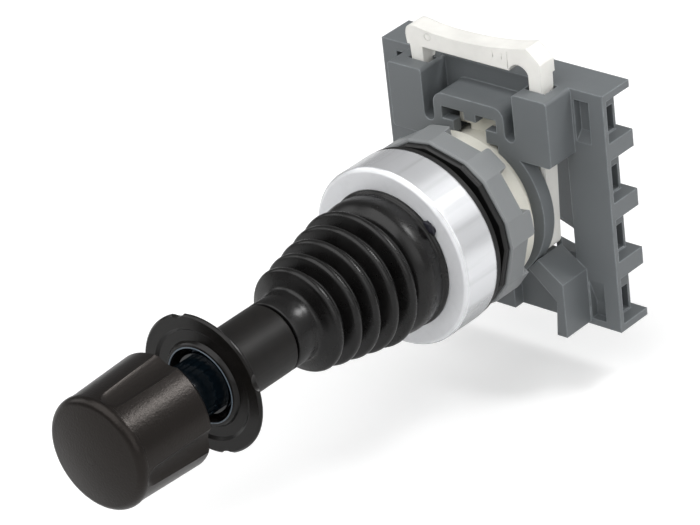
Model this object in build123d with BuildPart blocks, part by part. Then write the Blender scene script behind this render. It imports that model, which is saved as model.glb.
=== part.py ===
# Panel-mounted joystick operator with a pull collar, a rubber boot, and the holder that
# carries the contact blocks behind the panel.
# Millimetres. The origin is the centre of the panel's front plane. The stick points to -Y,
# +Z is up (the side where the white latch is pulled) and +X is to the right.
from build123d import *
from math import asin, atan2, cos, degrees, hypot, radians, sin
import os

os.makedirs("parts", exist_ok=True)

# Fits and walls
run_gap = 0.05            # radial clearance of a piece that turns or slides on another
seat_gap = 0.02           # radial clearance of two pieces that stay together
free_gap = 0.3            # room between pieces that only pass each other

# Panel, bezel and threaded bushing
thread_r = 11.0
thread_pitch = 1.5
thread_depth = 0.4
bushing_wall = 2.2
bushing_rear = 6.7
head_rim = 2.4            # how far the head stands out from the thread
head_front = -6.2
bezel_wall = 1.08
bezel_front = -8.0
bezel_rear = -1.0
bezel_face_t = 1.0
bezel_mouth = 10.3
bezel_chamfer = 0.6
gasket_inset = 0.1
key_w = 3.0
key_h = 1.1
key_rear = 0.9

# Clamping washer and castellated ring nut
panel_gap = 2.1
washer_t = 0.9
washer_rim = 2.8
nut_rim = 3.3
nut_sides = 8
nut_short_half = 8.4      # half the angle of a short side of the nut, degrees
nut_turn = 8.3            # how far the nut is turned at rest, degrees
nut_body = 3.8
nut_thread_l = 2.2
nut_cup_depth = 1.9       # how far the cup is wider than the thread
tab_h = 1.7
tab_w = 4.1
tab_round = 0.6

# Mechanism housing
ring_clear = 0.4          # room for the ring inside the nut's cup
ring_front = 6.75
ring_rear = 10.5
body_r = 10.6
spigot_front = 1.0
spigot_wall = 1.35
cavity_front = 8.0
cavity_r = 9.3
cavity_rear = 13.6
ledge_r = 7.9
gate_front = 14.2
gate_t = 1.0
rear_bore = 8.4
rear_r = 9.6
collar_rear = 18.3
housing_rear = 19.6
key_neck_w = 3.6
key_head_w = 7.7
key_neck_z = 11.4
key_head_z = 13.3
boss_pcd_r = 7.2
boss_r = 1.4
screw_r = 0.7
screw_head_r = 1.3
screw_head_h = 0.7
cover_t = 1.4
lock_cup_r = 3.0
lock_cup_front = 16.6

# Gimbal
pivot_y = 5.0
ring_half_t = 1.6
gimbal_gap = 1.0          # between the ring and the housing around it
hub_gap = 0.9             # between the stick's hub and the ring
pin_r = 0.9
tilt = 12.0

# Stick
rod_r = 2.5
rod_front = -69.5
rod_step = 12.2
tail_r = 1.9
tail_rear = 15.4
hub_r = 3.6
hub_front = 1.4
hub_rear = 9.6
shoulder_r = 4.4
shoulder_front = -5.0
shoulder_t = 0.8
neck_hub_r = 3.0
cam_r = 6.9
cam_t = 1.4
cam_rear = 11.8
lock_rod_r = 1.25
lock_rod_rear = 16.2
lock_pin_r = 0.6
lock_pin_y = -38.6
lock_pin_half = 5.0

# Guide sleeve, pull collar and its spring
sleeve_r = 4.2
sleeve_front = -60.0
sleeve_rear = -27.0
spline_count = 24
spline_h = 0.15
spline_w = 0.45
stop_r = 4.75
stop_y = -49.3
stop_t = 0.6
collar_travel = 4.0
shank_r = 5.55
shank_rear = -35.3
spring_floor = -41.0
spring_bore = 4.95
flange_r = 11.0
flange_front = -50.2
flange_t = 0.8
lip_r = 6.6
lip_bore = 5.9
dish_r = 8.4
dish_depth = 0.35
cone_front_r = 7.6
cone_rear = -46.3
notch_r = 2.2
notch_depth = 0.5
notch_turn = 17.0

# Knob
knob_rear = -58.0
knob_rear_r = 9.15
knob_shoulder = -70.9
knob_shoulder_r = 8.68
knob_step = 0.15
knob_tip = -73.4
knob_crown = 1.1          # how far the domed end rises
knob_round = 1.3
flute_end = -69.3
flute_count = 4
flute_turn = 76.0
flute_r = 3.4
flute_depth = 0.8
knob_cavity_r = 6.0
knob_cavity_l = 4.3
insert_r = 3.5
insert_l = 7.5

# Rubber boot
boot_lip = 0.9            # how far the lip reaches over the bezel's mouth
boot_lip_t = 0.6
boot_grip = 0.6
boot_wall = 0.8
crest_count = 5
crest_first_y = -15.6
crest_pitch = 3.35
crest_first_r = 11.05
crest_last_r = 8.35
fold_depth = 2.2
fold_land = 0.35          # half the width of a crest's flat before it is rounded
fold_round = 0.42
boot_neck_r = 5.55
boot_neck_rear = -30.6

# Plungers and their springs
plunger_pitch_r = 5.9
plunger_r = 0.9
plunger_gap = 0.5
plunger_collar_r = 1.6
plunger_collar_y = 16.7
plunger_collar_t = 0.6
plunger_out = 1.5

# Coil springs: wire radius and turns
plunger_wire = 0.12
plunger_turns = 4
collar_wire = 0.2
collar_turns = 7
centre_wire = 0.25
centre_turns = 4.5

# Contact block holder
holder_half_w = 21.05
holder_top = 19.9
holder_bottom = -20.1
flange_y = 18.4
holder_rear = 24.95
front_wall_t = 1.9
rim_t = 0.85
shelf_t = 1.2
rib_t = 2.85
rib_pitch = 10.0
rib_top = 11.7
side_out = 18.9
side_in = 16.9
side_rear = 23.8
side_lip_out = 17.8
window_front = 20.9
window_rear = 23.3
window_h = 4.1
yoke_y = 12.5
yoke_t = 2.4
plate_r = 12.9
opening_half_w = 13.5
opening_top = 9.4
opening_bottom = -9.5
post_in = 8.65
post_out = 15.15
post_bottom = 9.0
slot_bottom = 12.7
arch_half_w = 6.75
arch_top = 16.9
arch_round = 2.0
tunnel_half_w = 5.2
tunnel_top = 14.7
jaw_t = 1.7
jaw_half_gap = 3.1
jaw_low = 11.5
jaw_high = 12.7
hook_left = -0.9
hook_right = 1.3
hook_low = 13.4
pocket_in = 15.6
pocket_out = 18.3
pocket_depth = 1.4
pocket_ramp = 1.5
lower_ramp = 4.0
pocket_low = 11.2
pocket_high = 18.2
lower_pocket = (-19.0, -12.4)
foot_rib_half_w = 2.2
foot_rib_front = 16.5
foot_rib_top = -12.0
web_in = 9.9
web_out = 11.0
web_slot_top = -2.8
web_slot_h = 3.3

# Latch
leg_in = 9.25
leg_free = 10.8
leg_root = 10.1
leg_tooth_h = 2.7
leg_out = 12.5
leg_front = 15.15
leg_t = 1.85
leg_depth = 2.85
leg_taper = 1.3           # how much narrower the leg is at its lower end
leg_bottom = -6.7
latch_low = 22.2
latch_rear = 18.5
bridge_waist = 24.9
bridge_top = 26.6
notch_in = 6.5
notch_top = 23.5
leg_room = 0.15           # play of the latch legs in the holder
leg_side_room = 0.6       # the same at their outer side
latch_up = 3.0
latch_down = 0.4


def facing(y):
    """Plane across the stick at y. Its local axes are +X and +Z, and it looks to -Y."""
    return Plane(origin=(0, y, 0), x_dir=(1, 0, 0), z_dir=(0, -1, 0))


def turned(outline, mode=Mode.ADD):
    """Revolve a closed outline of (radius, y) points about the stick's axis."""
    with BuildSketch(Plane.XY) as section:
        with BuildLine():
            Polyline(*outline, close=True)
        make_face()
    revolve(section.sketch, axis=Axis.Y, mode=mode)


def tube(front, rear, outer, inner=0.0, mode=Mode.ADD):
    """A tube or disc about the stick's axis between two values of y."""
    turned([(inner, front), (outer, front), (outer, rear), (inner, rear)], mode)


def block(x, y, z, mode=Mode.ADD):
    """A block between pairs of limits along each axis."""
    centre = tuple((low + high) / 2 for low, high in (x, y, z))
    with Locations(centre):
        Box(x[1] - x[0], y[1] - y[0], z[1] - z[0], mode=mode)


def slab(outline, front, rear, mode=Mode.ADD):
    """A plate across the stick with an outline of (x, z) points."""
    with BuildSketch(facing(rear)) as section:
        with BuildLine():
            Polyline(*outline, close=True)
        make_face()
    extrude(section.sketch, amount=rear - front, mode=mode)


def drill(x, z, front, rear, radius, mode=Mode.SUBTRACT):
    """A round hole or stud along Y at (x, z)."""
    with BuildSketch(facing(rear)) as section:
        with Locations((x, z)):
            Circle(radius)
    extrude(section.sketch, amount=rear - front, mode=mode)


def cross_pin(direction, start, end, y, radius, mode=Mode.ADD):
    """A round pin or hole across the stick, from start to end along a direction at y."""
    base = Vector(0, y, 0) + Vector(*direction) * start
    with BuildSketch(Plane(origin=base, z_dir=direction)) as section:
        Circle(radius)
    extrude(section.sketch, amount=end - start, mode=mode)


def coil(radius, wire, front, rear, turns, taper=0.0, centre=(0, 0)):
    """A coil spring along Y. Its wire stays between front and rear."""
    height = rear - front - 2 * wire
    start = (centre[0], front + wire, centre[1])
    path = Helix(height / turns, height, radius, center=start, direction=(0, 1, 0), cone_angle=taper)
    with BuildSketch(Plane(origin=path @ 0, z_dir=path % 0)) as section:
        Circle(wire)
    sweep(section.sketch, path=path)


def mirrored(points):
    """The same outline on the other side of the middle plane."""
    return [(-x, z) for x, z in points]


def save(part, name):
    """Label a finished piece and write it."""
    part.part.label = name
    export_step(part.part, f"parts/{name}.step")


# Values that follow from the driving dimensions
bushing_bore = thread_r - bushing_wall
head_r = thread_r + head_rim
bezel_r = head_r + seat_gap + bezel_wall
gasket_r = bezel_r - gasket_inset
washer_corner = thread_r + washer_rim
nut_corner = thread_r + nut_rim
nut_cup_r = thread_r + nut_cup_depth
ring_r = nut_cup_r - ring_clear
spigot_bore = bushing_bore - run_gap - spigot_wall
gimbal_r = spigot_bore - gimbal_gap
gimbal_bore = hub_r + hub_gap
boot_lip_r = bezel_mouth + boot_lip
boot_grip_r = head_r - boot_grip
nut_front = panel_gap + washer_t
nut_valley = nut_front + nut_body
lock_rod_bore = lock_rod_r + run_gap
sleeve_bore = rod_r + seat_gap
flange_rear = flange_front + flange_t
insert_front = knob_rear - knob_cavity_l - insert_l
cover_rear = housing_rear + cover_t
plunger_tip = cam_rear + plunger_gap
plunger_rear = cover_rear + plunger_out
window_half = tail_r + (tail_rear - pivot_y) * sin(radians(tilt)) + free_gap / 2
crest_last_y = crest_first_y - (crest_count - 1) * crest_pitch
plunger_places = {
    "up": (0, plunger_pitch_r),
    "down": (0, -plunger_pitch_r),
    "left": (-plunger_pitch_r, 0),
    "right": (plunger_pitch_r, 0),
}
boss_places = [
    (boss_pcd_r * cos(radians(a)), boss_pcd_r * sin(radians(a))) for a in (45, 135, 225, 315)
]
rib_tops = [rib_top - i * rib_pitch for i in range(3)]
bay_floors = rib_tops + [holder_bottom + shelf_t]


# Knob: a tapered grip with a stepped dome, four flutes and a hollow rear
with BuildPart() as knob:
    dome_r = knob_shoulder_r + knob_step
    dome_y = knob_shoulder - knob_step
    crown_r = (dome_r**2 + knob_crown**2) / (2 * knob_crown)
    with BuildSketch(Plane.XY) as knob_section:
        with BuildLine():
            Polyline(
                (0, knob_tip),
                (0, knob_rear),
                (knob_rear_r - 0.45, knob_rear),
                (knob_rear_r, knob_rear - 0.5),
                (knob_shoulder_r, knob_shoulder),
                (dome_r, dome_y),
                (dome_r, knob_tip + knob_crown),
            )
            CenterArc((0, knob_tip + crown_r), crown_r, -90, degrees(asin(dome_r / crown_r)))
        make_face()
        rim = knob_section.vertices().sort_by_distance((dome_r, knob_tip + knob_crown))[0]
        fillet(rim, radius=knob_round)
    revolve(axis=Axis.Y)
    flute_axis_r = (knob_rear_r + knob_shoulder_r) / 2 - flute_depth + flute_r
    for i in range(flute_count):
        turn = radians(flute_turn + 360 * i / flute_count)
        flute_x = flute_axis_r * cos(turn)
        flute_z = flute_axis_r * sin(turn)
        drill(flute_x, flute_z, flute_end, knob_rear + 1, flute_r)
        with Locations((flute_x, flute_end, flute_z)):
            Sphere(flute_r, mode=Mode.SUBTRACT)
    tube(knob_rear - knob_cavity_l, knob_rear + 1, knob_cavity_r, mode=Mode.SUBTRACT)
    tube(insert_front, knob_rear, insert_r + seat_gap, mode=Mode.SUBTRACT)
save(knob, "knob")

with BuildPart() as knob_insert:
    tube(insert_front, knob_rear - knob_cavity_l, insert_r, rod_r + seat_gap)
    with BuildSketch(facing(knob_rear - knob_cavity_l)) as knurl:
        with PolarLocations(insert_r, 12):
            Circle(0.3)
    extrude(knurl.sketch, amount=insert_l, mode=Mode.SUBTRACT)
save(knob_insert, "knob_insert")

# Stick: a hollow steel rod with a slot for the lock pin and a thin tail for the gate
pin_slot = (lock_pin_y - collar_travel - 0.8, lock_pin_y + 0.8)
with BuildPart() as stick_rod:
    turned([
        (0, rod_front), (rod_r - 0.5, rod_front), (rod_r, rod_front + 0.5), (rod_r, rod_step),
        (tail_r, rod_step), (tail_r, tail_rear - 0.3), (tail_r - 0.3, tail_rear), (0, tail_rear),
    ])
    tube(pin_slot[0] - 2, tail_rear, lock_rod_bore, mode=Mode.SUBTRACT)
    slot_half = lock_pin_r + run_gap
    block((-rod_r, rod_r), pin_slot, (-slot_half, slot_half), mode=Mode.SUBTRACT)
save(stick_rod, "stick_rod")

with BuildPart() as stick_hub:
    turned([
        (sleeve_bore, shoulder_front), (shoulder_r, shoulder_front),
        (shoulder_r, shoulder_front + shoulder_t), (neck_hub_r, shoulder_front + shoulder_t),
        (neck_hub_r, hub_front), (hub_r, hub_front + 0.6), (hub_r, hub_rear),
        (sleeve_bore, hub_rear),
    ])
    for side in (1, -1):
        cross_pin((0, 0, side), rod_r, hub_r + 1, pivot_y, pin_r + run_gap, Mode.SUBTRACT)
save(stick_hub, "stick_hub")

with BuildPart() as cam_disc:
    cam_front = cam_rear - cam_t
    turned([
        (sleeve_bore, hub_rear), (hub_r, hub_rear), (hub_r, cam_front), (cam_r - 0.5, cam_front),
        (cam_r, cam_front + 0.5), (cam_r, cam_rear), (sleeve_bore, cam_rear),
    ])
save(cam_disc, "cam_disc")

# Guide sleeve: the splined tube that the pull collar slides on
with BuildPart() as guide_sleeve:
    tube(sleeve_front, sleeve_rear, sleeve_r, sleeve_bore)
    tube(stop_y - stop_t, stop_y, stop_r, sleeve_bore)
    with BuildSketch(facing(stop_y - stop_t)) as splines:
        with PolarLocations(sleeve_r, spline_count):
            Rectangle(2 * spline_h, spline_w)
    extrude(splines.sketch, amount=stop_y - stop_t - sleeve_front)
    block((-stop_r, stop_r), pin_slot, (-slot_half, slot_half), mode=Mode.SUBTRACT)
save(guide_sleeve, "guide_sleeve")

# Pull collar: the shank and the thin notched flange that the fingers pull
with BuildPart() as lock_collar:
    slide_bore = sleeve_r + run_gap
    turned([
        (slide_bore, shank_rear), (slide_bore, spring_floor), (spring_bore, spring_floor),
        (spring_bore, flange_front + 1.7), (lip_bore, flange_front - 0.3),
        (lip_r - 0.2, flange_front - 0.3), (lip_r, flange_front - 0.1),
        (lip_r + 0.25, flange_front + dish_depth), (dish_r, flange_front + dish_depth),
        (dish_r + 0.5, flange_front), (flange_r - 0.3, flange_front),
        (flange_r, flange_front + 0.3), (flange_r, flange_rear - 0.25),
        (flange_r - 0.25, flange_rear), (cone_front_r, flange_rear + 0.2),
        (shank_r + 0.15, cone_rear), (shank_r, cone_rear + 1.2), (shank_r, shank_rear - 0.4),
        (shank_r - 0.4, shank_rear),
    ])
    notch_axis_r = flange_r + notch_r - notch_depth
    for i in range(4):
        turn = radians(notch_turn + 90 * i)
        drill(
            notch_axis_r * cos(turn), notch_axis_r * sin(turn),
            flange_front - 1, flange_rear + 0.4, notch_r,
        )
    for side in (1, -1):
        cross_pin(
            (side, 0, 0), sleeve_r, lock_pin_half + seat_gap, lock_pin_y,
            lock_pin_r + seat_gap, Mode.SUBTRACT,
        )
save(lock_collar, "lock_collar")

with BuildPart() as collar_spring:
    coil(
        (sleeve_r + spring_bore) / 2, collar_wire, stop_y + run_gap, spring_floor - run_gap,
        collar_turns,
    )
save(collar_spring, "collar_spring")

with BuildPart() as lock_rod:
    turned([
        (0, lock_pin_y - 1.4), (lock_rod_r, lock_pin_y - 1.4), (lock_rod_r, lock_rod_rear - 0.4),
        (lock_rod_r - 0.4, lock_rod_rear), (0, lock_rod_rear),
    ])
    cross_pin(
        (1, 0, 0), -lock_rod_r - 1, lock_rod_r + 1, lock_pin_y, lock_pin_r + seat_gap,
        Mode.SUBTRACT,
    )
save(lock_rod, "lock_rod")

with BuildPart() as lock_pin:
    cross_pin((1, 0, 0), -lock_pin_half, lock_pin_half, lock_pin_y, lock_pin_r)
save(lock_pin, "lock_pin")

# Gimbal: one ring turns up and down on its side pins, the stick turns left and right in it
with BuildPart() as gimbal_ring:
    tube(pivot_y - ring_half_t, pivot_y + ring_half_t, gimbal_r, gimbal_bore)
    for direction in ((1, 0, 0), (-1, 0, 0), (0, 0, 1), (0, 0, -1)):
        cross_pin(
            direction, gimbal_bore - 1, gimbal_r + 1, pivot_y, pin_r + seat_gap, Mode.SUBTRACT
        )
save(gimbal_ring, "gimbal_ring")

with BuildPart() as gimbal_pins:
    for side in (1, -1):
        cross_pin((side, 0, 0), gimbal_bore, bushing_bore - 0.1, pivot_y, pin_r)
save(gimbal_pins, "gimbal_pins")

with BuildPart() as stick_pins:
    for side in (1, -1):
        cross_pin((0, 0, side), rod_r + 0.15, gimbal_r, pivot_y, pin_r)
save(stick_pins, "stick_pins")

with BuildPart() as centering_spring:
    small_r = neck_hub_r + free_gap + centre_wire
    large_r = (spigot_bore + bushing_bore) / 2 - centre_wire
    spring_front = shoulder_front + shoulder_t + run_gap
    spring_rear = spigot_front - run_gap
    spring_taper = degrees(atan2(large_r - small_r, spring_rear - spring_front))
    coil(small_r, centre_wire, spring_front, spring_rear, centre_turns, taper=spring_taper)
save(centering_spring, "centering_spring")

# Rubber boot: outer folds between crests and valleys, the same folds inside one wall deeper
with BuildPart() as boot:
    folds = [(crest_first_r - 0.15, crest_first_y + 4.9), (crest_first_r - 0.3, crest_first_y + 3.2)]
    for i in range(crest_count):
        share = i / (crest_count - 1)
        crest = crest_first_r + (crest_last_r - crest_first_r) * share
        y = crest_first_y - i * crest_pitch
        folds.append((crest - fold_depth + 0.3, y + crest_pitch / 2))
        folds.append((crest, y + fold_land))
        folds.append((crest, y - fold_land))
    base = [
        (boot_grip_r, head_front - 0.05),
        (boot_grip_r, bezel_front + bezel_face_t + seat_gap),
        (bezel_mouth - 0.1, bezel_front + bezel_face_t + seat_gap),
        (bezel_mouth - 0.1, bezel_front - seat_gap), (boot_lip_r, bezel_front - seat_gap),
        (boot_lip_r, bezel_front - boot_lip_t), (crest_first_r - 0.35, bezel_front - boot_lip_t - 0.2),
    ]
    tip = [
        (boot_neck_r + 0.25, boot_neck_rear), (boot_neck_r, boot_neck_rear - 0.3),
        (boot_neck_r, shank_rear + 0.2), (sleeve_r + 0.1, shank_rear + 0.2),
        (sleeve_r + 0.1, crest_last_y - 0.9),
    ]
    inside = [(r - boot_wall, y) for r, y in reversed(folds)]
    inside += [(bezel_mouth - boot_wall - 0.1, bezel_front), (bezel_mouth - boot_wall - 0.1, head_front - 0.05)]
    with BuildSketch(Plane.XY) as boot_section:
        with BuildLine():
            Polyline(*base, *folds, *tip, *inside, close=True)
        make_face()
        fold_points = folds + inside[: len(folds)]
        bends = [
            v for v in boot_section.vertices()
            if any(hypot(v.X - r, v.Y - y) < 0.01 for r, y in fold_points)
        ]
        fillet(bends, radius=fold_round)
    revolve(axis=Axis.Y)
save(boot, "boot")

# Bezel: a chromed ring cap over the bushing's head
with BuildPart() as bezel:
    turned([
        (bezel_mouth, bezel_front), (bezel_r - bezel_chamfer, bezel_front),
        (bezel_r, bezel_front + bezel_chamfer), (bezel_r, bezel_rear),
        (head_r + seat_gap, bezel_rear), (head_r + seat_gap, bezel_front + bezel_face_t),
        (bezel_mouth, bezel_front + bezel_face_t),
    ])
save(bezel, "bezel")

key_block = ((-key_w / 2, key_w / 2), (bezel_rear, key_rear), (thread_r - 0.8, thread_r + key_h))
with BuildPart() as bushing:
    tube(bezel_rear, bushing_rear, thread_r, bushing_bore)
    turned([
        (bushing_bore + 0.5, head_front), (head_r, head_front), (head_r, bezel_rear),
        (bushing_bore, bezel_rear), (bushing_bore, head_front + 0.5),
    ])
    groove_y = key_rear + thread_pitch / 2
    while groove_y < bushing_rear - thread_depth:
        turned([
            (thread_r + 0.1, groove_y - thread_depth), (thread_r - thread_depth, groove_y),
            (thread_r + 0.1, groove_y + thread_depth),
        ], Mode.SUBTRACT)
        groove_y += thread_pitch
    block(*key_block)
save(bushing, "bushing")

with BuildPart() as bezel_gasket:
    tube(bezel_rear, 0, gasket_r, thread_r + 0.1)
    block(
        (-key_w / 2 - 0.1, key_w / 2 + 0.1), (bezel_rear - 1, 1),
        (thread_r - 1, thread_r + key_h + 0.1), mode=Mode.SUBTRACT,
    )
save(bezel_gasket, "bezel_gasket")


def nut_outline(corner):
    """Eight long sides joined by short ones, turned as the nut is at rest."""
    points = []
    for i in range(nut_sides):
        middle = nut_turn + 360 * i / nut_sides
        for side in (-nut_short_half, nut_short_half):
            turn = radians(middle + side)
            points.append((corner * cos(turn), corner * sin(turn)))
    return points


with BuildPart() as nut_washer:
    slab(nut_outline(washer_corner), panel_gap, nut_front)
    tube(panel_gap - 1, nut_front + 1, thread_r + run_gap, mode=Mode.SUBTRACT)
    chamfer(nut_washer.edges().filter_by(Plane.XZ).group_by(Axis.Y)[0].filter_by(GeomType.LINE), 0.3)
save(nut_washer, "nut_washer")

with BuildPart() as ring_nut:
    slab(nut_outline(nut_corner), nut_front, nut_valley)
    chamfer(ring_nut.edges().filter_by(Plane.XZ).group_by(Axis.Y)[0], 0.25)
    tab_reach = nut_corner * cos(radians(nut_short_half)) - nut_cup_r
    for i in range(nut_sides):
        turn = radians(nut_turn + 360 * i / nut_sides)
        outward = Vector(cos(turn), 0, sin(turn))
        root = outward * (nut_cup_r - 0.5) + Vector(0, nut_valley, 0)
        with BuildSketch(Plane(origin=root, x_dir=(0, 1, 0), z_dir=outward)) as tab:
            RectangleRounded(2 * tab_h, tab_w, tab_round)
        extrude(tab.sketch, amount=tab_reach + 0.5)
    tube(nut_front - 1, nut_valley, thread_r + run_gap, mode=Mode.SUBTRACT)
    tube(nut_front + nut_thread_l, nut_valley + tab_h + 1, nut_cup_r, mode=Mode.SUBTRACT)
save(ring_nut, "ring_nut")


# Mechanism housing: spigot in the bushing, ring behind the nut and the grooves for the latch
with BuildPart() as mechanism_housing:
    turned([
        (spigot_bore, spigot_front), (bushing_bore - run_gap, spigot_front),
        (bushing_bore - run_gap, ring_front), (ring_r - 0.4, ring_front),
        (ring_r, ring_front + 0.4), (ring_r, ring_rear), (body_r, ring_rear),
        (body_r, collar_rear), (rear_r, collar_rear), (rear_r, housing_rear),
        (rear_bore, housing_rear), (rear_bore, gate_front), (ledge_r, gate_front),
        (ledge_r, cavity_rear), (cavity_r, cavity_rear), (cavity_r, cavity_front),
        (spigot_bore, cavity_front),
    ])
    for x, z in boss_places:
        drill(x, z, gate_front + gate_t + seat_gap, housing_rear, boss_r, Mode.ADD)
    tube(housing_rear - 1, housing_rear + 1, body_r + 1, rear_r, Mode.SUBTRACT)
    for x, z in boss_places:
        drill(x, z, gate_front + gate_t + 0.4, housing_rear + 1, screw_r + seat_gap)
    groove = (leg_front - 0.2, leg_front + leg_t + 0.1)
    for side in (1, -1):
        x_limits = sorted((side * (leg_in - 0.15), side * (body_r + 1)))
        block(x_limits, groove, (-body_r, body_r), mode=Mode.SUBTRACT)
        block(x_limits, (groove[1] - 0.1, collar_rear + 0.1), (0.05, latch_up), mode=Mode.SUBTRACT)
        cross_pin((side, 0, 0), spigot_bore - 1, bushing_bore, pivot_y, pin_r + run_gap, Mode.SUBTRACT)
    key_y = (leg_front - 0.15, leg_front + leg_t)
    block((-key_neck_w / 2, key_neck_w / 2), key_y, (body_r - 0.4, key_neck_z + 0.1))
    block((-key_head_w / 2, key_head_w / 2), key_y, (key_neck_z, key_head_z))
save(mechanism_housing, "mechanism_housing")

with BuildPart() as gate_plate:
    tube(gate_front, gate_front + gate_t, rear_bore - run_gap)
    block(
        (-window_half, window_half), (gate_front - 1, gate_front + gate_t + 1),
        (-window_half, window_half), mode=Mode.SUBTRACT,
    )
    fillet(gate_plate.edges().filter_by(Axis.Y).filter_by(GeomType.LINE), radius=0.5)
    for x, z in plunger_places.values():
        drill(x, z, gate_front - 1, gate_front + gate_t + 1, plunger_r + run_gap)
save(gate_plate, "gate_plate")

with BuildPart() as rear_cover:
    turned([
        (0, lock_cup_front + 3.0), (lock_rod_bore + 0.1, lock_cup_front + 3.0),
        (lock_rod_bore + 0.1, lock_cup_front + 0.3), (lock_rod_bore + 0.4, lock_cup_front),
        (lock_cup_r, lock_cup_front), (lock_cup_r, housing_rear), (rear_r, housing_rear),
        (rear_r, cover_rear - 0.3), (rear_r - 0.3, cover_rear), (0, cover_rear),
    ])
    for x, z in plunger_places.values():
        drill(x, z, housing_rear - 1, cover_rear + 1, plunger_r + run_gap)
    for x, z in boss_places:
        drill(x, z, housing_rear - 1, cover_rear + 1, screw_r + seat_gap)
save(rear_cover, "rear_cover")

with BuildPart() as cover_screws:
    for x, z in boss_places:
        drill(x, z, gate_front + gate_t + 0.6, cover_rear, screw_r, Mode.ADD)
        drill(x, z, cover_rear, cover_rear + screw_head_h, screw_head_r, Mode.ADD)
        for width, height in ((0.35, 1.6), (1.6, 0.35)):
            block(
                (x - width / 2, x + width / 2),
                (cover_rear + screw_head_h - 0.4, cover_rear + screw_head_h + 1),
                (z - height / 2, z + height / 2), mode=Mode.SUBTRACT,
            )
save(cover_screws, "cover_screws")


def shape_plunger(x, z):
    """A domed pin with a collar that its spring pushes on."""
    drill(x, z, plunger_tip, plunger_rear, plunger_r, Mode.ADD)
    drill(x, z, plunger_collar_y, plunger_collar_y + plunger_collar_t, plunger_collar_r, Mode.ADD)


def shape_plunger_spring(x, z):
    """The coil between a plunger's collar and the rear cover."""
    coil(
        (plunger_r + plunger_collar_r) / 2, plunger_wire,
        plunger_collar_y + plunger_collar_t + run_gap, housing_rear - run_gap,
        plunger_turns, centre=(x, z),
    )


with BuildPart() as plunger_up:
    shape_plunger(*plunger_places["up"])
    fillet(plunger_up.edges().group_by(Axis.Y)[0], radius=plunger_r - 0.15)
save(plunger_up, "plunger_up")

with BuildPart() as plunger_down:
    shape_plunger(*plunger_places["down"])
    fillet(plunger_down.edges().group_by(Axis.Y)[0], radius=plunger_r - 0.15)
save(plunger_down, "plunger_down")

with BuildPart() as plunger_left:
    shape_plunger(*plunger_places["left"])
    fillet(plunger_left.edges().group_by(Axis.Y)[0], radius=plunger_r - 0.15)
save(plunger_left, "plunger_left")

with BuildPart() as plunger_right:
    shape_plunger(*plunger_places["right"])
    fillet(plunger_right.edges().group_by(Axis.Y)[0], radius=plunger_r - 0.15)
save(plunger_right, "plunger_right")

with BuildPart() as plunger_spring_up:
    shape_plunger_spring(*plunger_places["up"])
save(plunger_spring_up, "plunger_spring_up")

with BuildPart() as plunger_spring_down:
    shape_plunger_spring(*plunger_places["down"])
save(plunger_spring_down, "plunger_spring_down")

with BuildPart() as plunger_spring_left:
    shape_plunger_spring(*plunger_places["left"])
save(plunger_spring_left, "plunger_spring_left")

with BuildPart() as plunger_spring_right:
    shape_plunger_spring(*plunger_places["right"])
save(plunger_spring_right, "plunger_spring_right")


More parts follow.
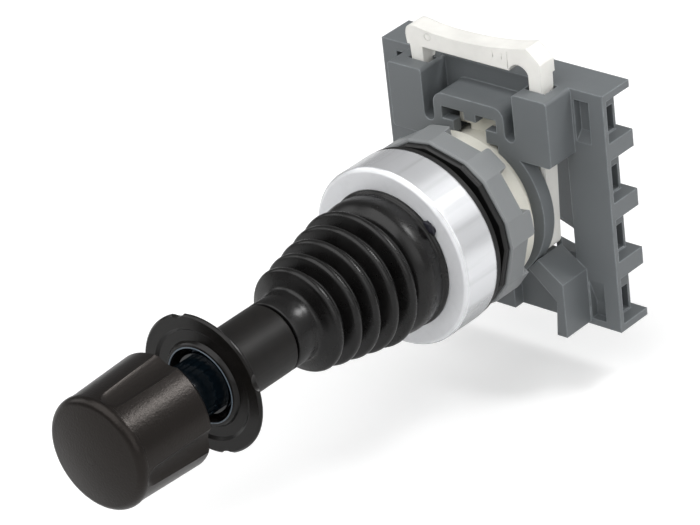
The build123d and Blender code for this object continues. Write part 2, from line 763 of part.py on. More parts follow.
# Holder: a frame for three contact blocks with a yoke that the latch clamps on the housing
with BuildPart() as holder:
    wall_rear = flange_y + front_wall_t
    block((-side_out, side_out), (flange_y, wall_rear), (holder_bottom, holder_top))
    block((-holder_half_w, holder_half_w), (flange_y, flange_y + rim_t), (holder_bottom, holder_top))
    for low, high in ((holder_top - shelf_t, holder_top), (holder_bottom, holder_bottom + shelf_t)):
        block((-holder_half_w, holder_half_w), (flange_y, holder_rear), (low, high))
    for side in (1, -1):
        block(sorted((side * side_in, side * side_out)), (flange_y, side_rear), (holder_bottom, holder_top))
        block(sorted((side * side_in, side * side_lip_out)), (flange_y, holder_rear), (holder_bottom, holder_top))
        for top in rib_tops:
            block(sorted((side * side_in, side * holder_half_w)), (flange_y, holder_rear), (top - rib_t, top))
    block(
        (-opening_half_w, opening_half_w), (flange_y - 1, wall_rear + 1),
        (opening_bottom, opening_top), mode=Mode.SUBTRACT,
    )
    for side in (1, -1):
        block(sorted((side * web_in, side * web_out)), (flange_y, holder_rear), (holder_bottom + 0.5, holder_top - 0.5))

    # Yoke in front of the frame: round plate, two posts with slots between them and an arch
    yoke_front = yoke_y
    with BuildSketch(facing(flange_y)) as yoke:
        with Locations((0, (post_bottom + slot_bottom) / 2)):
            Rectangle(2 * post_out - 1, slot_bottom - post_bottom)
        for side in (1, -1):
            with Locations((side * (post_in + post_out) / 2, (post_bottom + holder_top) / 2)):
                RectangleRounded(post_out - post_in, holder_top - post_bottom, 0.6)
        with Locations((0, arch_top - 4)):
            RectangleRounded(2 * arch_half_w, 8, arch_round)
        for side in (1, -1):
            with Locations((side * (arch_half_w + post_in) / 2, slot_bottom)):
                Circle((post_in - arch_half_w) / 2, mode=Mode.SUBTRACT)
    extrude(yoke.sketch, amount=flange_y - yoke_front)
    tube(yoke_front, yoke_front + yoke_t, plate_r)

    # Feet under the plate and the short rib between them
    foot = [(10.8, -7.4), (15.3, -10.6), (15.3, -19.65), (13.4, -19.65), (13.9, -13.8), (9.0, -9.5)]
    slab(foot, yoke_front, flange_y)
    slab(mirrored(foot), yoke_front, flange_y)
    block((-foot_rib_half_w, foot_rib_half_w), (foot_rib_front, flange_y), (holder_bottom, foot_rib_top))

    # Bore for the housing, tunnel with jaws for its key, and the channels of the latch legs
    tube(yoke_front - 1, flange_y, body_r + run_gap, mode=Mode.SUBTRACT)
    tube(flange_y - 0.1, wall_rear, rear_r + free_gap, mode=Mode.SUBTRACT)
    block((-tunnel_half_w, tunnel_half_w), (yoke_front + jaw_t, flange_y), (0, tunnel_top), Mode.SUBTRACT)
    block((-tunnel_half_w, tunnel_half_w), (yoke_front - 1, flange_y), (jaw_high, tunnel_top), Mode.SUBTRACT)
    block((-jaw_half_gap, jaw_half_gap), (yoke_front - 1, flange_y), (0, tunnel_top), Mode.SUBTRACT)
    block((-tunnel_half_w, tunnel_half_w), (yoke_front - 1, flange_y), (0, jaw_low - 1), Mode.SUBTRACT)
    block((hook_left, hook_right), (yoke_front, yoke_front + jaw_t), (hook_low, tunnel_top + 0.2))
    for side in (1, -1):
        for inner, depth in ((leg_in, leg_t), (leg_root, leg_depth)):
            block(
                sorted((side * (inner - leg_room), side * (leg_out + leg_side_room))),
                (leg_front - leg_room, leg_front + depth + leg_room),
                (leg_bottom - latch_down - free_gap, holder_top + 1), mode=Mode.SUBTRACT,
            )

    # Pockets in the front, windows in the sides and the slanted slots in the webs
    for side in (1, -1):
        for low, high, low_ramp, high_ramp in (
            (pocket_low, pocket_high, pocket_ramp, 0), (*lower_pocket, 0, lower_ramp),
        ):
            start = pocket_in if side > 0 else -pocket_out
            with BuildSketch(Plane.YZ.offset(start)) as pocket:
                with BuildLine():
                    Polyline(
                        (flange_y, low), (flange_y + pocket_depth, low + low_ramp),
                        (flange_y + pocket_depth, high - high_ramp), (flange_y, high), close=True,
                    )
                make_face()
            extrude(pocket.sketch, amount=pocket_out - pocket_in, mode=Mode.SUBTRACT)
        for floor in bay_floors:
            block(
                sorted((side * (side_in - 0.5), side * (side_out + 0.1))),
                (window_front, window_rear), (floor + 0.3, floor + 0.3 + window_h),
                mode=Mode.SUBTRACT,
            )
    slot_rear = holder_rear - 1.3
    slot_drop = slot_rear - flange_y
    with BuildSketch(Plane.YZ.offset(-web_out)) as web_slot:
        with BuildLine():
            Polyline(
                (flange_y, web_slot_top), (slot_rear, web_slot_top - slot_drop),
                (slot_rear, web_slot_top - web_slot_h - 0.9 * slot_drop),
                (flange_y, web_slot_top - web_slot_h), close=True,
            )
        make_face()
    extrude(web_slot.sketch, amount=2 * web_out, mode=Mode.SUBTRACT)
save(holder, "holder")

# Latch: a white bridge with two legs that lock behind the housing's collar
with BuildPart() as latch:
    with BuildSketch(facing(latch_rear)) as bridge:
        with BuildLine():
            Polyline(
                (leg_root, bridge_top), (leg_out - 0.4, bridge_waist), (leg_out, bridge_waist - 0.6),
                (leg_out, latch_low), (leg_root, latch_low),
            )
            ThreePointArc(
                (leg_root, latch_low), ((leg_root + notch_in) / 2, notch_top), (notch_in, latch_low),
            )
            Polyline(
                (notch_in, latch_low), (-leg_out - 0.5, latch_low), (-leg_out - 0.7, latch_low + 1.5),
            )
            Spline(
                (-leg_out - 0.7, latch_low + 1.5), (-leg_out, bridge_waist + 0.4),
                (-leg_in - 1.1, bridge_waist + 0.4), (-3.0, bridge_waist),
                (notch_in - 1.2, bridge_waist + 0.7), (leg_root, bridge_top),
            )
        make_face()
    extrude(bridge.sketch, amount=latch_rear - leg_front)
    leg = [
        (leg_out, latch_low + 1), (leg_root, latch_low + 1), (leg_root, post_bottom),
        (leg_free, post_bottom - 1), (leg_free, leg_bottom), (leg_out - leg_taper - 0.3, leg_bottom),
        (leg_out - leg_taper, leg_bottom + 0.5), (leg_out, latch_low),
    ]
    tooth = [
        (leg_free + 0.2, 0.2), (leg_free, 0.2), (leg_in, -0.1), (leg_in, -leg_tooth_h),
        (leg_free, -leg_tooth_h - 0.4), (leg_free + 0.2, -leg_tooth_h - 0.4),
    ]
    for outline, depth in ((leg, leg_depth), (tooth, leg_t)):
        slab(outline, leg_front, leg_front + depth)
        slab(mirrored(outline), leg_front, leg_front + depth)
save(latch, "latch")
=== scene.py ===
"""Looks of the panel joystick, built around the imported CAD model. Same frame as the CAD: the stick
points to -Y, +Z is up and +X is to the right seen from the knob. Blender works in metres. The named
lengths of the part are in millimetres and are multiplied by MM where they are used."""

from math import cos, pi, radians, sin

import bmesh
import bpy
from mathutils import Matrix, Vector


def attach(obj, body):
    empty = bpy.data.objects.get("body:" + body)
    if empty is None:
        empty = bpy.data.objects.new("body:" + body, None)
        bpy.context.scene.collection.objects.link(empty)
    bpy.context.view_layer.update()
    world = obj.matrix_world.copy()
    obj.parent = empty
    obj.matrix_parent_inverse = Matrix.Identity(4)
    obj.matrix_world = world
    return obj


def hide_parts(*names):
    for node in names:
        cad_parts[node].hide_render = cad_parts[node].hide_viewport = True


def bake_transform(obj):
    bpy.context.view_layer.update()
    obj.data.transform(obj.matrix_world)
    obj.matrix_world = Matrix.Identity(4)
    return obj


MM = 0.001

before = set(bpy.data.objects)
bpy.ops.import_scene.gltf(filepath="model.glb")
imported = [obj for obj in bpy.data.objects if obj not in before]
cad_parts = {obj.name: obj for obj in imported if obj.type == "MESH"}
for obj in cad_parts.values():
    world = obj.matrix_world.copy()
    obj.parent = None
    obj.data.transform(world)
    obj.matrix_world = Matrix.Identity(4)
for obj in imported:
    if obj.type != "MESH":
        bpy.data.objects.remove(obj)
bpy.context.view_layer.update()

# Camera, solved from the photograph
CAMERA_AT = Vector((383.683, -424.415, 308.455)) * MM
CAMERA_VIEW = Vector((-0.60191, 0.63943, -0.47837))
CAMERA_ROLL = radians(-6.734)
CAMERA_LENS = 224.45

# Studio, in metres and watts
FLOOR_Z = -30.0 * MM
FLOOR_HALF = 3.0
FLOOR_GLOW = 0.35
AMBIENT = 0.28
SWEEP = {"From Min": -0.7, "From Max": 0.5, "To Min": 0.26, "To Max": 0.6}
PART_MIDDLE = (0, -0.02, 0)
KNOB_SIDE = (0.006, -0.064, 0.007)
LAMPS = (
    # name, place, what it faces, width, power
    ("key", (-0.1, -0.4, 0.6), PART_MIDDLE, 0.8, 3.95),
    ("side", (0.62, -0.3, 0.4), PART_MIDDLE, 0.7, 1.7),
    ("back", (0.3, 0.45, 0.5), PART_MIDDLE, 0.6, 0.5),
    ("left", (-0.55, -0.25, 0.28), PART_MIDDLE, 0.3, 0.5),
    ("glint", (0.118, 0.082, 0.175), KNOB_SIDE, 0.06, 0.17),
)

# Inputs and outputs of the mix node, which has one set for numbers and one for colours
MIX_FACTOR = 0
MIX_NUMBERS, MIX_NUMBER = (2, 3), 0
MIX_COLOURS, MIX_COLOUR = (6, 7), 2

# Rubber boot, as in the CAD model. Profiles hold (radius, y).
BOOT_CRESTS = 5
CREST_FIRST_Y = -15.6
CREST_PITCH = 3.35
CREST_LAST_Y = CREST_FIRST_Y - (BOOT_CRESTS - 1) * CREST_PITCH
CREST_FIRST_R = 11.05
CREST_LAST_R = 8.35
FOLD_DEPTH = 2.1
CREST_ROUND = 0.72
VALLEY_ROUND = 0.4
BOOT_WALL = 0.75
BOOT_BORE = 4.32
INNER_LEAST = 4.35
BOOT_RIM = [
    (12.8, -6.3), (12.8, -6.95), (10.2, -6.98), (10.2, -8.02), (11.1, -8.04), (11.2, -8.2),
    (11.15, -8.55), (10.9, -8.7), (10.72, -8.8),
]
BOOT_BELL = [(10.78, -9.3), (10.95, -10.2), (11.0, -11.2), (10.92, -12.0), (10.6, -12.6)]
RIM_BORE = [(9.4, -8.0), (9.4, -6.3)]
# Radius, and how far past the last crest
BOOT_NECK = [(7.55, 0.85), (6.7, 1.2), (6.1, 1.45), (5.72, 1.65), (5.58, 1.95), (5.55, 3.0)]
BOOT_END = [(5.55, -34.9), (5.4, -35.08), (BOOT_BORE, -35.08)]
BEND_START_Y = -9.0
BEND_END_Y = CREST_LAST_Y - 1.5
ROUND_STEPS = 144

# Lump of rubber at the boot's lip
LUMP_OUTWARD = Vector((0.751, 0, 0.66))
LUMP_ALONG = Vector((0.66, 0, -0.751))
LUMP_RADIUS = 11.45
LUMP_Y = -8.3
LUMP_LONG = 1.25
LUMP_HIGH = 0.72
LUMP_DEEP = 0.42
LUMP_SKEW = 0.25

# Ring on the edge of the pull collar's lip, coloured lighter as a painted highlight
LIP_RADIUS = 5.96
LIP_Y = -50.46
LIP_ROUND = 0.13

# Knob: its cone from the crown's edge to the rear, and the cap of its crown
CONE_FRONT_Y, CONE_FRONT_R = -70.9, 8.68
CONE_REAR_Y, CONE_REAR_R = -58.0, 9.15
KNOB_TIP = -73.4
CROWN_RADIUS = 36.0
CAP_RADIUS = 0.9
CAP_RISE = 0.012
CAP_RINGS = 6
SMALL_STEPS = 48

# Mould marks on the latch's front: a ring, and ribs of (x, low z, high z)
LATCH_FRONT = 15.15
EJECTOR_AT = (-8.9, 24.15)
EJECTOR_RADIUS = 0.58
EJECTOR_ROUND = 0.05
RIBS = ((6.35, 22.5, 25.3), (3.6, 23.75, 24.9), (5.3, 23.75, 24.9))
RIB_WIDTH = 0.07
RIB_DEPTH = 0.05


def camera(name, at, view, roll, lens):
    """A camera that looks along view, turned about it by roll."""
    back = -view.normalized()
    right = Vector((0, 0, 1)).cross(back).normalized()
    up = back.cross(right)
    upright = Matrix((right, up, back)).transposed()
    data = bpy.data.cameras.new(name)
    data.lens = lens
    data.sensor_width = 36.0
    data.clip_end = 10.0
    obj = bpy.data.objects.new(name, data)
    turned_by = (upright @ Matrix.Rotation(roll, 3, "Z")).to_4x4()
    obj.matrix_world = Matrix.Translation(at) @ turned_by
    bpy.context.scene.collection.objects.link(obj)
    bpy.context.scene.camera = obj


def area_light(name, at, target, size, power):
    """A square soft light at a point, facing a target."""
    data = bpy.data.lights.new(name, "AREA")
    data.size = size
    data.energy = power
    obj = bpy.data.objects.new(name, data)
    aim = (Vector(target) - Vector(at)).to_track_quat("-Z", "Y").to_matrix().to_4x4()
    obj.matrix_world = Matrix.Translation(Vector(at)) @ aim
    bpy.context.scene.collection.objects.link(obj)


class Finish:
    """A material under construction: its node tree, its shader and the relief made so far."""

    def __init__(self, name, colour, roughness, metallic=0.0, shine=0.5):
        self.material = bpy.data.materials.new(name)
        self.material.use_nodes = True
        self.tree = self.material.node_tree
        self.shader = self.tree.nodes["Principled BSDF"]
        self.shader.inputs["Base Color"].default_value = (*colour, 1)
        self.shader.inputs["Roughness"].default_value = roughness
        self.shader.inputs["Metallic"].default_value = metallic
        self.shader.inputs["Specular IOR Level"].default_value = shine
        self.colour = colour
        self.roughness = roughness
        self.place = self.node("ShaderNodeTexCoord").outputs["Object"]
        self.normal = None

    def node(self, kind, **inputs):
        """A new node with some of its inputs set by name."""
        made = self.tree.nodes.new(kind)
        for name, value in inputs.items():
            made.inputs[name.replace("_", " ")].default_value = value
        return made

    def link(self, source, target):
        self.tree.links.new(source, target)

    def noise(self, size, detail=2.0, stretch=None):
        """Noise whose blobs are about this many millimetres across."""
        made = self.node("ShaderNodeTexNoise", Scale=1.0 / (size * MM), Detail=detail)
        place = self.place
        if stretch:
            mapping = self.node("ShaderNodeMapping", Scale=stretch)
            self.link(place, mapping.inputs["Vector"])
            place = mapping.outputs["Vector"]
        self.link(place, made.inputs["Vector"])
        return made.outputs["Fac"]

    def ramp(self, value, low, high, to_low, to_high):
        """A value mapped from one range to another."""
        made = self.node(
            "ShaderNodeMapRange", From_Min=low, From_Max=high, To_Min=to_low, To_Max=to_high
        )
        self.link(value, made.inputs["Value"])
        return made.outputs["Result"]

    def math(self, operation, one, other):
        """Two values joined by one operation of arithmetic."""
        made = self.node("ShaderNodeMath")
        made.operation = operation
        self.link(one, made.inputs[0])
        self.link(other, made.inputs[1])
        return made.outputs[0]

    def axes(self):
        """Node whose outputs are the object's own X, Y and Z in metres."""
        made = self.node("ShaderNodeSeparateXYZ")
        self.link(self.place, made.inputs["Vector"])
        return made

    def along_stick(self, low, high, to_low, to_high):
        """A value that goes from one to another between two places on Y, in millimetres."""
        return self.ramp(self.axes().outputs["Y"], low * MM, high * MM, to_low, to_high)

    def reach(self):
        """Distance from the Y axis in metres."""
        axes = self.axes()
        flat = self.node("ShaderNodeCombineXYZ")
        self.link(axes.outputs["X"], flat.inputs["X"])
        self.link(axes.outputs["Z"], flat.inputs["Z"])
        length = self.node("ShaderNodeVectorMath")
        length.operation = "LENGTH"
        self.link(flat.outputs["Vector"], length.inputs[0])
        return length.outputs["Value"]

    def rounded(self, radius):
        """Normal of a surface whose edges are rounded by this many millimetres."""
        made = self.node("ShaderNodeBevel", Radius=radius * MM)
        made.samples = 6
        return made.outputs["Normal"]

    def edges(self, radius):
        """1 along sharp edges and 0 on flat faces, over this many millimetres."""
        likeness = self.node("ShaderNodeVectorMath")
        likeness.operation = "DOT_PRODUCT"
        self.link(self.rounded(radius), likeness.inputs[0])
        self.link(self.node("ShaderNodeNewGeometry").outputs["Normal"], likeness.inputs[1])
        return self.ramp(likeness.outputs["Value"], 0.98, 0.86, 0, 1)

    def soft_edges(self, radius):
        """Edges that catch light as if they were rounded by this many millimetres."""
        self.normal = self.rounded(radius)
        self.link(self.normal, self.shader.inputs["Normal"])

    def bump(self, value, depth):
        """Relief of this many millimetres, on top of any relief so far."""
        made = self.node("ShaderNodeBump", Strength=1.0, Distance=depth * MM)
        self.link(value, made.inputs["Height"])
        if self.normal:
            self.link(self.normal, made.inputs["Normal"])
        self.normal = made.outputs["Normal"]
        self.link(self.normal, self.shader.inputs["Normal"])

    def mottle(self, value, low, high):
        """Base colour scaled by one factor where a value is 0 and by another where it is 1."""
        mix = self.node("ShaderNodeMix")
        mix.data_type = "RGBA"
        for socket, factor in zip(MIX_COLOURS, (low, high)):
            shade = [min(1.0, part * factor) for part in self.colour]
            mix.inputs[socket].default_value = (*shade, 1)
        self.link(value, mix.inputs[MIX_FACTOR])
        self.link(mix.outputs[MIX_COLOUR], self.shader.inputs["Base Color"])

    def uneven_gloss(self, value, change):
        """Roughness that wanders up and down by a change."""
        rough = self.ramp(value, 0.3, 0.7, self.roughness - change, self.roughness + change)
        self.link(rough, self.shader.inputs["Roughness"])


def moulded(name, colour, roughness, grain, depth, edge=0.25, shine=0.4, painted_edge_highlight=1.0):
    """Moulded plastic with fine grain and soft edges. Its colour has faint flow marks, or a painted
    highlight that lightens its edges in patches by this factor."""
    made = Finish(name, colour, roughness, shine=shine)
    made.soft_edges(edge)
    if painted_edge_highlight > 1:
        # Painted highlight: the edges' colour is lightened in patches by the given factor
        patches = made.ramp(made.noise(1.8, 3.0), 0.3, 0.6, 0.35, 1)
        made.mottle(made.math("MULTIPLY", made.edges(0.42), patches), 1, painted_edge_highlight)
    else:
        made.mottle(made.ramp(made.noise(6.0, 4.0), 0.3, 0.7, 0, 1), 0.92, 1.08)
    made.bump(made.noise(grain, 3.0), depth)
    made.uneven_gloss(made.noise(2.5), 0.04)
    return made.material


def knob_finish():
    """Black grained plastic, duller in the grooves than on the rest of the side."""
    smooth, dull = 0.28, 0.6
    made = Finish("knob_black", (0.005, 0.0038, 0.0033), smooth, shine=0.29)
    made.shader.inputs["Specular Tint"].default_value = (1.0, 0.91, 0.85, 1)
    made.bump(made.noise(0.32, 3.0), 0.03)
    made.mottle(made.noise(3.0, 4.0), 0.9, 1.1)
    cone = made.along_stick(CONE_FRONT_Y, CONE_REAR_Y, CONE_FRONT_R * MM, CONE_REAR_R * MM)
    sunk = made.math("SUBTRACT", cone, made.reach())
    groove = made.ramp(sunk, 0.05 * MM, 0.4 * MM, 0, 1)
    behind_crown = made.along_stick(CONE_FRONT_Y - 0.3, CONE_FRONT_Y + 0.3, 0, 1)
    grooves = made.math("MULTIPLY", groove, behind_crown)
    made.link(made.ramp(grooves, 0, 1, smooth, dull), made.shader.inputs["Roughness"])
    return made.material


def collar_finish():
    """Black plastic, glossy on the flange and dull with wear on the tube behind it."""
    glossy, dull = 0.25, 0.46
    made = Finish("flange_black", (0.004, 0.0034, 0.003), glossy, shine=0.26)
    made.soft_edges(0.12)
    made.bump(made.noise(0.6, 3.0), 0.003)
    made.mottle(made.noise(2.5, 5.0), 0.6, 2.4)
    made.link(made.along_stick(-47.5, -45.5, glossy, dull), made.shader.inputs["Roughness"])
    return made.material


def metal(name, colour, roughness, edge=0.12):
    """Bare metal with fine tool marks."""
    made = Finish(name, colour, roughness, metallic=1.0)
    made.soft_edges(edge)
    made.bump(made.noise(0.15, 3.0), 0.004)
    made.uneven_gloss(made.noise(3.0, 3.0), 0.05)
    made.mottle(made.noise(4.0), 0.94, 1.04)
    return made.material


def chrome():
    """Chrome that is satin on the front face and polished on the chamfer and the side, with painted
    reflection streaks darkening its colour, mostly round the side.
    """
    front, chamfer = -7.9, -7.4
    face_rough, side_rough = 0.42, 0.2
    face_metal, side_metal = 0.2, 0.68
    made = Finish("bezel_chrome", (0.80, 0.81, 0.83), side_rough, metallic=side_metal)
    made.soft_edges(0.4)
    polish = made.along_stick(front, chamfer, face_rough, side_rough)
    made.link(polish, made.shader.inputs["Roughness"])
    plating = made.along_stick(front, chamfer, face_metal, side_metal)
    made.link(plating, made.shader.inputs["Metallic"])
    made.bump(made.noise(0.12, 3.0, (1, 8, 1)), 0.002)
    # Painted reflection: dark streaks round the side that run along Y, fainter on the front face
    painted_reflection_streaks = made.ramp(made.noise(1.6, 4.0, (1, 0.04, 1)), 0.3, 0.5, 1, 0)
    made.mottle(made.math("MULTIPLY", painted_reflection_streaks, plating), 1.0, 0.8)
    return made.material


def rubber(name, colour, roughness):
    """Satin rubber with a fine skin and dusty patches."""
    made = Finish(name, colour, roughness, shine=0.35)
    made.soft_edges(0.1)
    made.bump(made.noise(0.25, 4.0), 0.006)
    made.uneven_gloss(made.noise(3.0, 4.0), 0.07)
    made.mottle(made.ramp(made.noise(5.0, 5.0), 0.35, 0.75, 0, 1), 0.85, 1.35)
    return made.material


def dress(node, material):
    """Give a CAD node one material."""
    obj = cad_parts[node]
    obj.data.materials.clear()
    obj.data.materials.append(material)


def mesh_object(name, mesh, material):
    """A smooth object from a bmesh."""
    bmesh.ops.recalc_face_normals(mesh, faces=mesh.faces)
    data = bpy.data.meshes.new(name)
    mesh.to_mesh(data)
    mesh.free()
    for polygon in data.polygons:
        polygon.use_smooth = True
    data.materials.append(material)
    obj = bpy.data.objects.new(name, data)
    bpy.context.scene.collection.objects.link(obj)
    return obj


def circle(mesh, radius, y, steps, centre=(0, 0)):
    """New points on a circle about the Y axis, or about a line beside it through an (x, z)."""
    turns = [2 * pi * i / steps for i in range(steps)]
    return [
        mesh.verts.new((
            (centre[0] + radius * cos(turn)) * MM, y * MM, (centre[1] + radius * sin(turn)) * MM
        ))
        for turn in turns
    ]


def turn_profile(mesh, profile, steps, centre=(0, 0)):
    """Add the closed ring that a closed profile of (radius, y) makes when it is turned."""
    circles = [circle(mesh, radius, y, steps, centre) for radius, y in profile]
    for i in range(steps):
        after = (i + 1) % steps
        for one, other in zip(circles, circles[1:] + circles[:1]):
            mesh.faces.new((one[i], other[i], other[after], one[after]))


def turned(name, profile, material):
    """A closed ring made by turning a closed profile of (radius, y) about the Y axis."""
    mesh = bmesh.new()
    turn_profile(mesh, profile, ROUND_STEPS)
    return mesh_object(name, mesh, material)


def crest_radius(y):
    """Radius of the cone that the boot's crests touch, at y."""
    share = (CREST_FIRST_Y - y) / (CREST_PITCH * (BOOT_CRESTS - 1))
    return CREST_FIRST_R + (CREST_LAST_R - CREST_FIRST_R) * share


def arc(centre, radius, start, end, steps):
    """Points of a circular arc. Angles in degrees from the radial direction towards +Y."""
    turns = [radians(start + (end - start) * i / steps) for i in range(steps + 1)]
    return [(centre[0] + radius * cos(t), centre[1] + radius * sin(t)) for t in turns]


def crest(y):
    """The round top of the fold at y, from its panel side to its knob side."""
    return arc((crest_radius(y) - CREST_ROUND, y), CREST_ROUND, 78, -78, 12)


def valley(y):
    """The round bottom between two folds at y, from its panel side to its knob side."""
    return arc((crest_radius(y) - FOLD_DEPTH + VALLEY_ROUND, y), VALLEY_ROUND, 102, 258, 8)


def inside(skin, least=0.0):
    """The boot's inner wall, one wall thickness under its skin, back towards the panel."""
    return [(max(radius - BOOT_WALL, least), y) for radius, y in reversed(skin)]


def boot():
    """The rubber boot in two rings that meet in a valley."""
    material = rubber("boot_rubber", (0.004, 0.0037, 0.0036), 0.28)
    folds = [CREST_FIRST_Y - i * CREST_PITCH for i in range(BOOT_CRESTS)]
    half = CREST_PITCH / 2
    split_y = CREST_FIRST_Y - 1.5 * CREST_PITCH
    shared = valley(split_y)
    middle = len(shared) // 2

    skin = BOOT_BELL + valley(folds[0] + half) + crest(folds[0])
    skin += valley(folds[0] - half) + crest(folds[1]) + shared[: middle + 1]
    lower = BOOT_RIM + skin + inside(skin) + RIM_BORE

    skin = shared[middle:] + crest(folds[2]) + valley(folds[2] - half) + crest(folds[3])
    skin += valley(folds[3] - half) + crest(folds[4])
    neck = [(radius, CREST_LAST_Y - past) for radius, past in BOOT_NECK]
    upper = skin + neck + BOOT_END + [(BOOT_BORE, CREST_LAST_Y - 0.6)] + inside(skin, INNER_LEAST)

    for name, profile, bodies, start_y, end_y in (
        ("boot_lower", lower, ("head", "gimbal"), BEND_START_Y, split_y),
        ("boot_upper", upper, ("gimbal", "stick"), split_y, BEND_END_Y),
    ):
        piece = turned(name, profile, material)
        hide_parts("boot")
        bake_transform(piece)


def flash():
    """The lump of rubber that the mould left on the boot's lip, at its upper right."""
    mesh = bmesh.new()
    bmesh.ops.create_icosphere(mesh, subdivisions=4, radius=1.0)
    for vert in mesh.verts:
        x, y, z = vert.co
        swell = 1 + 0.13 * sin(5 * x + 2) * cos(4 * z) + 0.08 * sin(9 * x + 7 * y)
        spot = LUMP_OUTWARD * (LUMP_RADIUS + LUMP_HIGH * y * swell)
        spot += LUMP_ALONG * (LUMP_LONG * x * swell + LUMP_SKEW * y)
        spot += Vector((0, LUMP_Y + LUMP_DEEP * z * swell, 0))
        vert.co = spot * MM
    piece = mesh_object("boot_flash", mesh, rubber("flash_rubber", (0.012, 0.012, 0.018), 0.4))
    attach(piece, "head")


def lip_edge():
    """A thin ring on the edge of the pull collar's lip round the guide sleeve, coloured lighter as a
    painted highlight.
    """
    # Painted highlight: a light blue-grey ring on the black lip
    material = moulded("lip_painted_highlight", (0.10, 0.13, 0.16), 0.2, 0.6, 0.002, edge=0.02, shine=0.5)
    section = arc((LIP_RADIUS, LIP_Y), LIP_ROUND, 0, 315, 7)
    piece = turned("collar_lip_edge", section, material)
    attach(piece, "collar")


def crown_cap(material):
    """A thin smooth skin on the middle of the knob's crown, where the solid's triangles meet."""
    mesh = bmesh.new()
    centre = mesh.verts.new((0, (KNOB_TIP - CAP_RISE) * MM, 0))
    rings = []
    for k in range(1, CAP_RINGS + 1):
        share = k / CAP_RINGS
        radius = CAP_RADIUS * share
        y = KNOB_TIP + radius**2 / (2 * CROWN_RADIUS) - CAP_RISE * (1 - share**2)
        rings.append(circle(mesh, radius, y, SMALL_STEPS))
    for i in range(SMALL_STEPS):
        after = (i + 1) % SMALL_STEPS
        mesh.faces.new((centre, rings[0][i], rings[0][after]))
        for inner, outer in zip(rings, rings[1:]):
            mesh.faces.new((inner[i], outer[i], outer[after], inner[after]))
    piece = mesh_object("knob_crown_cap", mesh, material)
    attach(piece, "stick")


def latch_marks(material):
    """The round ejector mark and the fine ribs that the mould left on the latch's front."""
    mesh = bmesh.new()
    section = arc((EJECTOR_RADIUS, LATCH_FRONT), EJECTOR_ROUND, 0, -270, 3)
    turn_profile(mesh, section, SMALL_STEPS, EJECTOR_AT)
    for x, low, high in RIBS:
        middle = Vector((x, LATCH_FRONT, (low + high) / 2)) * MM
        size = Matrix.Diagonal((RIB_WIDTH, RIB_DEPTH, high - low, 1))
        bmesh.ops.create_cube(mesh, size=MM, matrix=Matrix.Translation(middle) @ size)
    piece = mesh_object("latch_marks", mesh, material)
    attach(piece, "slide_latch")


def dress_cad():
    """Materials of the CAD nodes that keep their own shape, returned by node."""
    steel = metal("ground_steel", (0.62, 0.63, 0.65), 0.28)
    spring = metal("spring_wire", (0.66, 0.66, 0.67), 0.24, edge=0.03)
    mechanism = moulded("mechanism_black", (0.022, 0.022, 0.024), 0.42, 0.3, 0.01)
    white = moulded("plunger_white", (0.72, 0.70, 0.64), 0.4, 0.3, 0.008)
    black = (0.006, 0.006, 0.006)
    finishes = {
        "knob": knob_finish(),
        "lock_collar": collar_finish(),
        "guide_sleeve": moulded(
            "sleeve_black", (0.003, 0.006, 0.009), 0.12, 0.6, 0.004, edge=0.05, shine=0.5
        ),
        "bezel": chrome(),
        "bezel_gasket": rubber("gasket_rubber", black, 0.5),
        "bushing": moulded("bushing_black", black, 0.45, 0.3, 0.01),
        "nut_washer": moulded("washer_black", black, 0.4, 0.3, 0.01, edge=0.1),
        "ring_nut": moulded("nut_grey", (0.22, 0.23, 0.235), 0.38, 0.25, 0.012, painted_edge_highlight=1.5),
        "mechanism_housing": moulded("housing_cream", (0.72, 0.705, 0.63), 0.42, 0.3, 0.008),
        "holder": moulded("holder_grey", (0.145, 0.157, 0.164), 0.42, 0.25, 0.012, painted_edge_highlight=1.9),
        "latch": moulded("latch_white", (0.86, 0.85, 0.81), 0.4, 0.3, 0.008),
        "knob_insert": metal("insert_brass", (0.78, 0.62, 0.32), 0.3),
    }
    for node in ("stick_rod", "lock_rod", "lock_pin", "gimbal_pins", "stick_pins", "cover_screws"):
        finishes[node] = steel
    for node in ("gimbal_ring", "stick_hub", "cam_disc", "gate_plate", "rear_cover"):
        finishes[node] = mechanism
    finishes["centering_spring"] = spring
    finishes["collar_spring"] = metal("blued_wire", (0.10, 0.11, 0.13), 0.3, edge=0.03)
    for side in ("up", "down", "left", "right"):
        finishes[f"plunger_{side}"] = white
        finishes[f"plunger_spring_{side}"] = spring
    for node, material in finishes.items():
        dress(node, material)
    return finishes


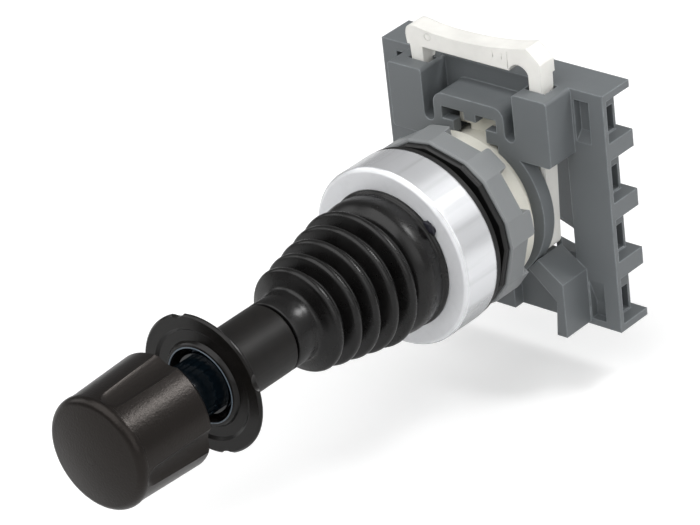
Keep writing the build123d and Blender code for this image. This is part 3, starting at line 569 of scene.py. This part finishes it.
def world_light():
    """White to the camera, a soft grey sweep in reflections and a low even light for the rest."""
    world = bpy.data.worlds.new("studio")
    bpy.context.scene.world = world
    world.use_nodes = True
    tree = world.node_tree
    path = tree.nodes.new("ShaderNodeLightPath")
    place = tree.nodes.new("ShaderNodeTexCoord")
    axes = tree.nodes.new("ShaderNodeSeparateXYZ")
    tree.links.new(place.outputs["Generated"], axes.inputs["Vector"])
    sweep = tree.nodes.new("ShaderNodeMapRange")
    for name, value in SWEEP.items():
        sweep.inputs[name].default_value = value
    tree.links.new(axes.outputs["X"], sweep.inputs["Value"])
    strength = AMBIENT
    for seen, value in (("Is Glossy Ray", sweep.outputs["Result"]), ("Is Camera Ray", 1.0)):
        mix = tree.nodes.new("ShaderNodeMix")
        tree.links.new(path.outputs[seen], mix.inputs[MIX_FACTOR])
        for socket, side in zip(MIX_NUMBERS, (strength, value)):
            if isinstance(side, float):
                mix.inputs[socket].default_value = side
            else:
                tree.links.new(side, mix.inputs[socket])
        strength = mix.outputs[MIX_NUMBER]
    back = tree.nodes["Background"]
    back.inputs["Color"].default_value = (1, 1, 1, 1)
    tree.links.new(strength, back.inputs["Strength"])


def pale_floor():
    """A pale floor that glows a little to the camera, so that it is white outside the shadow."""
    mesh = bpy.data.meshes.new("floor")
    corners = [(-1, -1), (1, -1), (1, 1), (-1, 1)]
    spots = [(x * FLOOR_HALF, y * FLOOR_HALF, FLOOR_Z) for x, y in corners]
    mesh.from_pydata(spots, [], [(0, 1, 2, 3)])
    floor = bpy.data.objects.new("floor", mesh)
    bpy.context.scene.collection.objects.link(floor)
    pale = Finish("floor_pale", (0.86, 0.86, 0.86), 0.9, shine=0.0)
    path = pale.node("ShaderNodeLightPath")
    pale.shader.inputs["Emission Color"].default_value = (1, 1, 1, 1)
    glow = pale.ramp(path.outputs["Is Camera Ray"], 0, 1, 0, FLOOR_GLOW)
    pale.link(glow, pale.shader.inputs["Emission Strength"])
    mesh.materials.append(pale.material)


def studio():
    """The world's light, the floor and the lamps: a large soft key above the knob, weaker ones from
    the right, the left and behind, and a small one for the glint on the knob's side."""
    bpy.context.scene.view_settings.view_transform = "Standard"
    world_light()
    pale_floor()
    for lamp in LAMPS:
        area_light(*lamp)


camera("photo_view", CAMERA_AT, CAMERA_VIEW, CAMERA_ROLL, CAMERA_LENS)
studio()
finishes = dress_cad()
boot()
flash()
lip_edge()
crown_cap(finishes["knob"])
latch_marks(finishes["latch"])

bpy.context.view_layer.update()
